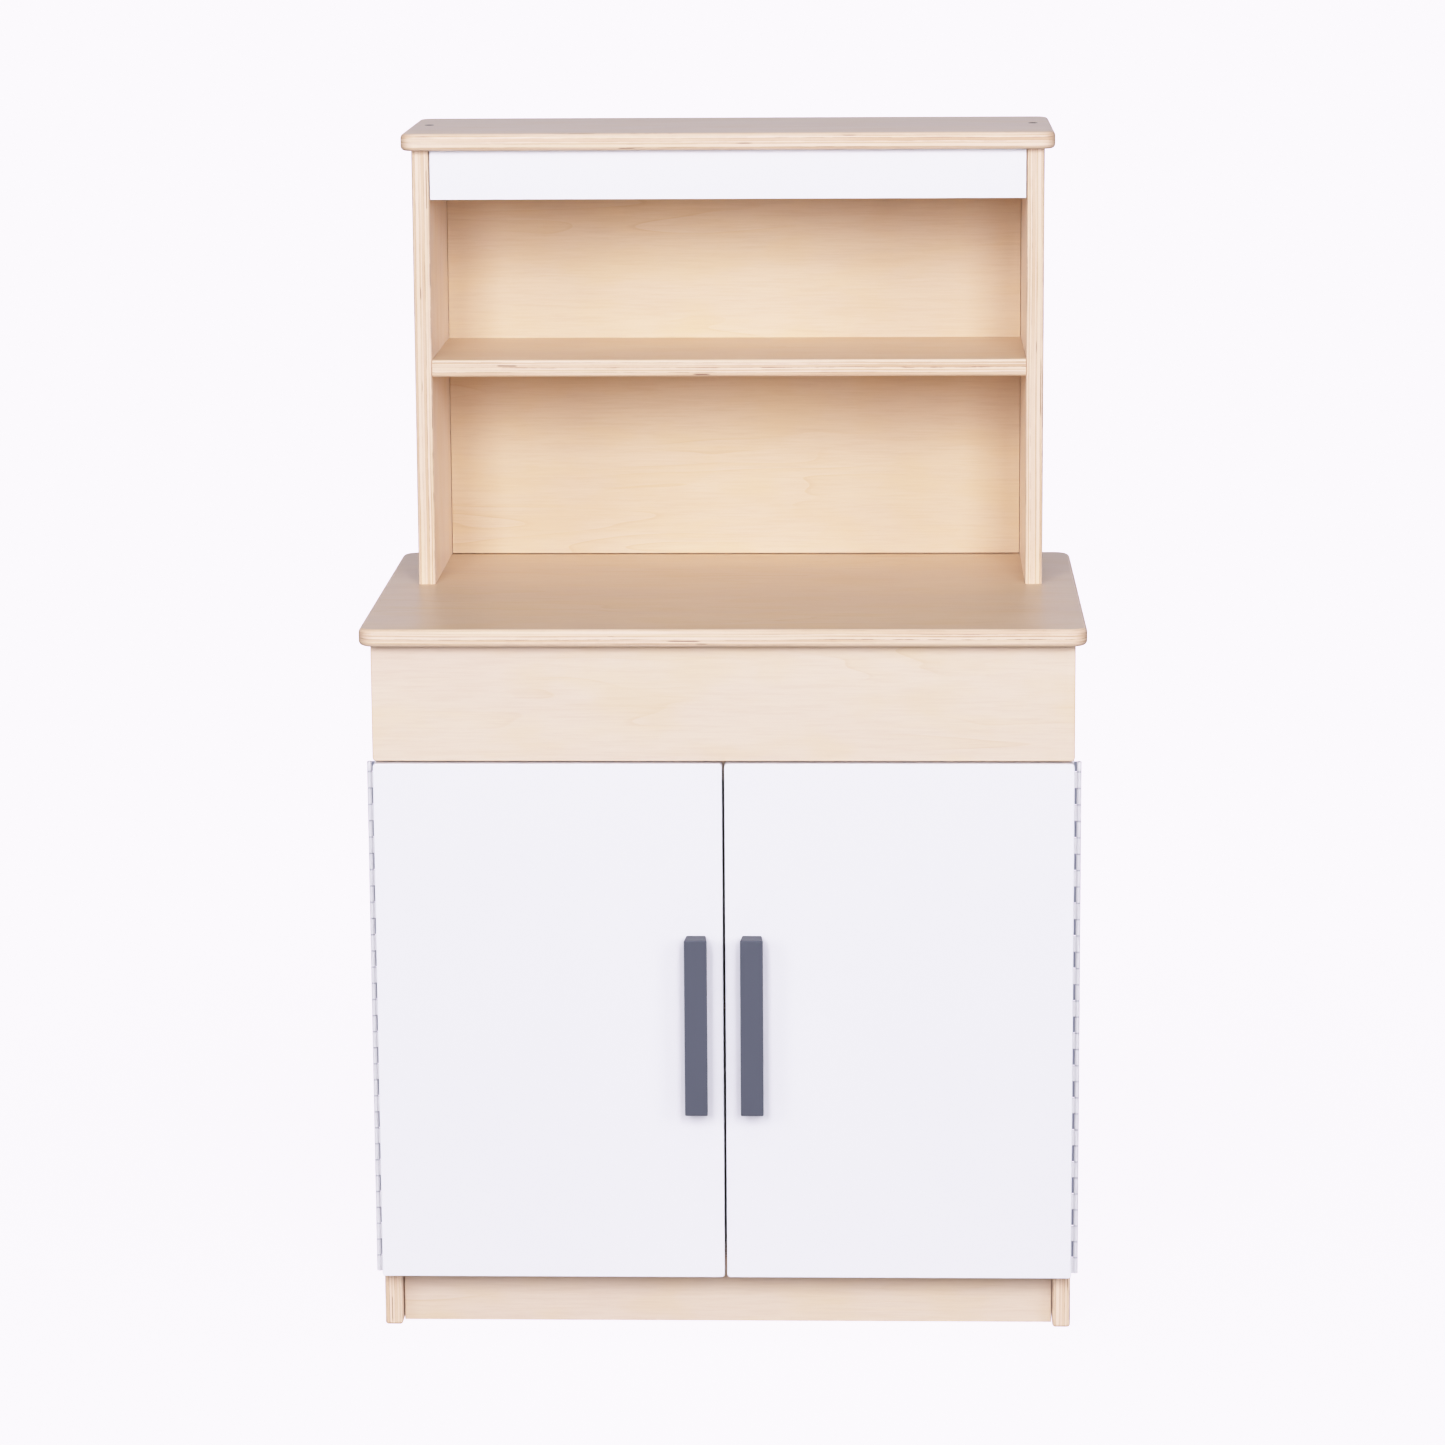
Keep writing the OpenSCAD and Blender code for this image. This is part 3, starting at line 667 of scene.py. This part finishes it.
def round_edges(bm, radius, segments, chosen):
    """Rounds the edges that chosen() picks."""
    picked = [edge for edge in bm.edges if chosen(edge)]
    bmesh.ops.bevel(
        bm, geom=picked, offset=radius, offset_type="OFFSET", segments=segments,
        profile=0.5, affect="EDGES", clamp_overlap=False,
    )


def runs_along(edge, axis):
    a, b = (v.co for v in edge.verts)
    return abs((b - a).normalized()[axis]) > STRAIGHT


def lies_on(edge, axis, level):
    return all(abs(v.co[axis] - level) < SAME_PLACE for v in edge.verts)


def is_sharp(edge):
    return len(edge.link_faces) == 2 and edge.calc_face_angle() > SHARP


def extrude(bm, face):
    """Copies a face with walls back to its outline, and returns the copy's vertices."""
    grown = bmesh.ops.extrude_face_region(bm, geom=[face])["geom"]
    return [v for v in grown if isinstance(v, bmesh.types.BMVert)]


def all_round_board(node, thin, plan_r, edge_r):
    """Board whose outline has round corners and whose two faces have a round-over."""
    lo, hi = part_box(node)
    bm = block(lo, hi)
    round_edges(bm, plan_r, CORNER_STEPS, lambda e: runs_along(e, thin))
    round_edges(
        bm, edge_r, ROUND_STEPS,
        lambda e: lies_on(e, thin, lo[thin]) or lies_on(e, thin, hi[thin]),
    )
    return bm


def housed_board(node, groove, depth, foot):
    """Board let in between its neighbours, with a fine groove round its front face that
    opens to foot along the bottom."""
    lo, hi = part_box(node)
    bm = block(lo + Vector((0, depth, 0)), hi)
    front = min(bm.faces, key=lambda face: face.calc_center_median().y)
    bmesh.ops.inset_region(bm, faces=[front], thickness=groove, use_even_offset=True)
    front = min(bm.faces, key=lambda face: face.calc_center_median().y - face.calc_area() * LARGER_FIRST)
    moved = extrude(bm, front)
    bmesh.ops.delete(bm, geom=[front], context="FACES_KEEP_BOUNDARY")
    bmesh.ops.translate(bm, vec=(0, -depth, 0), verts=moved)
    lowest = min(v.co.z for v in moved)
    bottom = [v for v in moved if v.co.z < lowest + groove]
    bmesh.ops.translate(bm, vec=(0, 0, foot - groove), verts=bottom)
    return bm


def eased_board(node, fronts=(), arris_r=0.0, play=(0, 0, 0)):
    """Square-cut board. fronts lists (edge axis, side axis, side) of the arrises rounded to
    arris_r, where side is 0 for the lower and 1 for the upper end; the rest are just eased.
    play leaves a fine open joint at both ends of an axis."""
    lo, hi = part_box(node)
    corners = (lo + Vector(play), hi - Vector(play))
    bm = block(*corners)
    picks = [(run, axis, corners[side][axis]) for run, axis, side in fronts]
    if picks:
        round_edges(
            bm, arris_r, ROUND_STEPS,
            lambda e: any(runs_along(e, run) and lies_on(e, axis, at) for run, axis, at in picks),
        )
    round_edges(bm, EASE, EASE_STEPS, is_sharp)
    return bm


def make_piece(name, bm, material, body, node):
    """Turns a bmesh into a piece that rides on a body and stands for a CAD node."""
    mesh = bpy.data.meshes.new(name)
    for face in bm.faces:
        face.smooth = True
    bm.to_mesh(mesh)
    bm.free()
    mesh.materials.append(material)
    piece = bpy.data.objects.new(name, mesh)
    bpy.context.scene.collection.objects.link(piece)
    piece.modifiers.new("even shading", "WEIGHTED_NORMAL")
    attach(piece, body)
    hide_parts(node)
    return piece


def hole_cutter(centres, radius, floor, top):
    """Object of upright cylinders that start at floor and stand well out over top."""
    bm = bmesh.new()
    depth = 2 * (top - floor)
    for x, y in centres:
        bmesh.ops.create_cone(
            bm, cap_ends=True, segments=HOLE_SEGMENTS, radius1=radius, radius2=radius, depth=depth,
            matrix=Matrix.Translation((x, y, floor + depth / 2)),
        )
    mesh = bpy.data.meshes.new("cutter")
    bm.to_mesh(mesh)
    bm.free()
    cutter = bpy.data.objects.new("cutter", mesh)
    bpy.context.scene.collection.objects.link(cutter)
    return cutter


def sink_holes(piece, centres, radius, floor, top):
    """Cuts round blind holes down into a piece, from top to floor."""
    cutter = hole_cutter(centres, radius, floor, top)
    cut = piece.modifiers.new("holes", "BOOLEAN")
    cut.operation = "DIFFERENCE"
    cut.solver = "EXACT"
    cut.object = cutter
    bpy.context.view_layer.update()
    graph = bpy.context.evaluated_depsgraph_get()
    shaped = bpy.data.meshes.new_from_object(piece.evaluated_get(graph))
    piece.modifiers.remove(cut)
    piece.data = shaped
    bpy.data.objects.remove(cutter)
    for polygon in shaped.polygons:
        polygon.use_smooth = True


# ---------------------------------------------------------------- boards

WORKTOP_CORNER = 14 * MM
TOP_CORNER = 12 * MM
ROUND_OVER = 4 * MM
ARRIS = 2.5 * MM
SHELF_ARRIS = 1.5 * MM
PANEL_CORNER = 3 * MM
PANEL_EDGE = 1 * MM
VALANCE_JOINT = 0.8 * MM
# Groove round the hutch's back panel: its width, its depth, and its width along the bottom.
BACK_GROOVE = (0.5 * MM, 5 * MM, 1.0 * MM)

# Arrises for eased_board(): a side panel's front edge, and its foot's lower edges.
FRONT_ARRIS = (Z, Y, 0)
FOOT_ARRISES = ((Y, Z, 0), (X, Z, 0))
SHELF_FRONT = (X, Y, 0)


def board(node, bm, thin, grain, seed, slot="birch_plywood", **looks):
    """Birch piece for a node of the cabinet."""
    material = birch_ply(node, thin, grain, seed, **looks)
    return make_piece(node + "_wood", bm, material, CABINET, node)


def make_top_board():
    """The hutch's top board, with a recess over the head of each of its two screws."""
    heads_lo, heads_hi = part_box("hutch_top_screws")
    head_radius = (heads_hi.y - heads_lo.y) / 2
    middle = (heads_hi.y + heads_lo.y) / 2
    centres = [(heads_lo.x + head_radius, middle), (heads_hi.x - head_radius, middle)]
    rounded = all_round_board("hutch_top", Z, TOP_CORNER, ROUND_OVER)
    top = board("hutch_top", rounded, Z, X, 4.9, warmth=0.65, holes=centres)
    sink_holes(top, centres, RECESS_RADIUS, heads_hi.z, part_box("hutch_top")[1].z)


def make_sides():
    """The side panels of the cupboard and of the hutch. Each board has its own seed."""
    for index, side in enumerate(SIDES):
        node = f"base_{side}_side"
        panel = eased_board(node, [FRONT_ARRIS, *FOOT_ARRISES], ARRIS)
        board(node, panel, X, Z, 12.1 + 5 * index)
        node = f"hutch_{side}_side"
        panel = eased_board(node, [FRONT_ARRIS], ARRIS)
        board(node, panel, X, Z, 23.4 + 5 * index, warmth=0.0)


def make_boards():
    """Every birch board of the cupboard and of the hutch."""
    worktop = all_round_board("worktop", Z, WORKTOP_CORNER, ROUND_OVER)
    board("worktop", worktop, Z, X, 1.7, warmth=0.85, depth_of_tone=0.80)
    make_top_board()
    fascia = all_round_board("fascia_panel", Y, PANEL_CORNER, PANEL_EDGE)
    board("fascia_panel", fascia, Y, X, 8.3, warmth=0.5, depth_of_tone=0.95)
    make_sides()
    shelf = eased_board("hutch_shelf", [SHELF_FRONT], ARRIS)
    board("hutch_shelf", shelf, Z, X, 31.2, warmth=0.9, depth_of_tone=0.90)
    back = housed_board("hutch_back", *BACK_GROOVE)
    board("hutch_back", back, Y, X, 37.7, "birch_back_panel", warmth=1.0)
    board("base_back", eased_board("base_back"), Y, X, 41.3, "birch_back_panel")
    shelf = eased_board("cupboard_shelf", [SHELF_FRONT], SHELF_ARRIS)
    board("cupboard_shelf", shelf, Z, X, 47.9)
    board("base_bottom", eased_board("base_bottom"), Z, X, 53.5)
    board("front_rail", eased_board("front_rail"), Y, X, 59.1)
    plinth = eased_board("plinth_board")
    board("plinth_board", plinth, Y, X, 61.8, warmth=0.5, depth_of_tone=0.90)


# ---------------------------------------------------------------- doors, valance and handles

HANDLE_BAR = 7 * MM
HANDLE_LEG = 15 * MM
HANDLE_GAP_R = 4 * MM
HANDLE_NOSE_R = 1.2 * MM
HANDLE_EDGE_R = 1.0 * MM
HANDLE_EDGE_STEPS = 5
HANDLE_FOOT = 16.5 * MM
HANDLE_STIPPLE = 0.006 * MM
DOOR_STIPPLE = 0.012 * MM


def arc(centre, radius, start, sweep, steps=6):
    """Points of an arc in a plane, from the angle start through sweep, in degrees."""
    angles = [math.radians(start + sweep * i / steps) for i in range(steps + 1)]
    return [(centre[0] + radius * math.cos(a), centre[1] + radius * math.sin(a)) for a in angles]


def handle_outline(lo, hi):
    """Side outline of a bar on two legs, as (y, z) points."""
    nose, gap = HANDLE_NOSE_R, HANDLE_GAP_R
    inner = lo.y + HANDLE_BAR
    low, high = lo.z + HANDLE_LEG, hi.z - HANDLE_LEG
    outline = [(hi.y, lo.z)]
    outline += reversed(arc((lo.y + nose, lo.z + nose), nose, 180, 90))
    outline += reversed(arc((lo.y + nose, hi.z - nose), nose, 90, 90))
    outline += [(hi.y, hi.z), (hi.y, high)]
    outline += arc((inner + gap, high - gap), gap, 90, 90)
    outline += arc((inner + gap, low + gap), gap, 180, 90)
    return outline + [(hi.y, low)]


def handle_mesh(node):
    """Bar on two legs: its outline extruded along x, rounded except where it meets the door,
    and narrowed towards the door."""
    lo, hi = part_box(node)
    bm = bmesh.new()
    cap = bm.faces.new([bm.verts.new((lo.x, y, z)) for y, z in handle_outline(lo, hi)])
    bmesh.ops.translate(bm, vec=(hi.x - lo.x, 0, 0), verts=extrude(bm, cap))
    bmesh.ops.recalc_face_normals(bm, faces=bm.faces)
    round_edges(
        bm, HANDLE_EDGE_R, HANDLE_EDGE_STEPS,
        lambda e: not lies_on(e, Y, hi.y) and (lies_on(e, X, lo.x) or lies_on(e, X, hi.x)),
    )
    middle = (lo.x + hi.x) / 2
    for v in bm.verts:
        share = (v.co.y - lo.y) / (hi.y - lo.y)
        v.co.x = middle + (v.co.x - middle) * (1 - share * (1 - HANDLE_FOOT / (hi.x - lo.x)))
    return bm


def make_fronts():
    """The two doors with their handles, and the valance."""
    white = satin_paint("white_paint", tone(240, 240, 241), tone(237, 237, 239), 0.42, DOOR_STIPPLE)
    grey = satin_paint("grey_handle", tone(79, 82, 90), tone(75, 78, 86), 0.50, HANDLE_STIPPLE, 0.15)
    for side in SIDES:
        body = f"{side}_door_leaf"
        door = f"{side}_door"
        panel = all_round_board(door, Y, PANEL_CORNER, PANEL_EDGE)
        make_piece(f"{side}_door_panel", panel, white, body, door)
        handle = f"{side}_handle"
        make_piece(f"{side}_handle_bar", handle_mesh(handle), grey, body, handle)
    valance = eased_board("hutch_valance", play=(VALANCE_JOINT, 0, 0))
    make_piece("hutch_valance_panel", valance, white, CABINET, "hutch_valance")


# ---------------------------------------------------------------- fittings kept from the CAD model

WELD_REACH = 0.002 * MM
BREAK_ANGLE = math.radians(40)
SCREW_EDGE = 0.10 * MM
PIN_EDGE = 0.15 * MM
PLATE_EDGE = 0.20 * MM
LEAF_EDGE = 0.12 * MM
CATCH_EDGE = 0.60 * MM
BATTEN_EDGE = 0.80 * MM
HINGE_STIPPLE = 0.008 * MM
CATCH_STIPPLE = 0.02 * MM


def soften(obj, width):
    """Joins the split corners of a CAD mesh and breaks its sharp edges a little."""
    weld = obj.modifiers.new("weld", "WELD")
    weld.merge_threshold = WELD_REACH
    bevel = obj.modifiers.new("broken edges", "BEVEL")
    bevel.width = width
    bevel.segments = 2
    bevel.limit_method = "ANGLE"
    bevel.angle_limit = BREAK_ANGLE
    obj.modifiers.new("even shading", "WEIGHTED_NORMAL")
    for polygon in obj.data.polygons:
        polygon.use_smooth = True


def both_sides(*endings):
    """Names of the nodes that a left and a right door have alike."""
    return [f"{side}_{ending}" for ending in endings for side in SIDES]


def fitting_plans():
    """(material, width of the broken edges, nodes) of all CAD nodes that stay."""
    hinge = (tone(235, 234, 233), tone(228, 227, 227), 0.36, HINGE_STIPPLE)
    catch = (tone(238, 238, 236), tone(230, 230, 228), 0.38, CATCH_STIPPLE)
    steel = metal("plated_steel", tone(214, 214, 218), 0.34)
    plate = metal("strike_steel", tone(200, 202, 206), 0.42, BRUSHED_ACROSS)
    dark = metal("dark_screw", tone(46, 38, 34), 0.60)
    # The hinge leaves carry painted shade in the slit beside the door and along the knuckle joints.
    frame_leaf = satin_paint("white_hinge_frame", *hinge, shade_mask=painted_slit_shade)
    door_leaf = satin_paint("white_hinge_door", *hinge, shade_mask=painted_joint_shade)
    plastic = satin_paint("white_plastic", *catch)
    batten = solid_wood("birch_batten", Y)
    screws = ["shelf_pins", "cleat_screws", "hutch_foot_screws", "catch_screws", "hinge_frame_screws"]
    screws += both_sides("handle_screws", "strike_screw", "hinge_door_screws")
    return [
        (steel, SCREW_EDGE, screws),
        (steel, PIN_EDGE, both_sides("hinge_pin")),
        (plate, PLATE_EDGE, ["catch_poles", *both_sides("strike_plate")]),
        (dark, SCREW_EDGE, ["hutch_top_screws"]),
        (frame_leaf, LEAF_EDGE, both_sides("hinge_frame_leaf")),
        (door_leaf, LEAF_EDGE, both_sides("hinge_door_leaf")),
        (plastic, CATCH_EDGE, ["door_catches"]),
        (batten, BATTEN_EDGE, ["worktop_cleats"]),
    ]


def finish_fittings():
    """Materials and broken edges for the CAD nodes that stay."""
    for material, width, nodes in fitting_plans():
        for node in nodes:
            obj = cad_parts[node]
            obj.data.materials.clear()
            obj.data.materials.append(material)
            soften(obj, width)


make_camera()
make_room()
make_floor()
make_lights()
develop()

make_boards()
make_fronts()
finish_fittings()
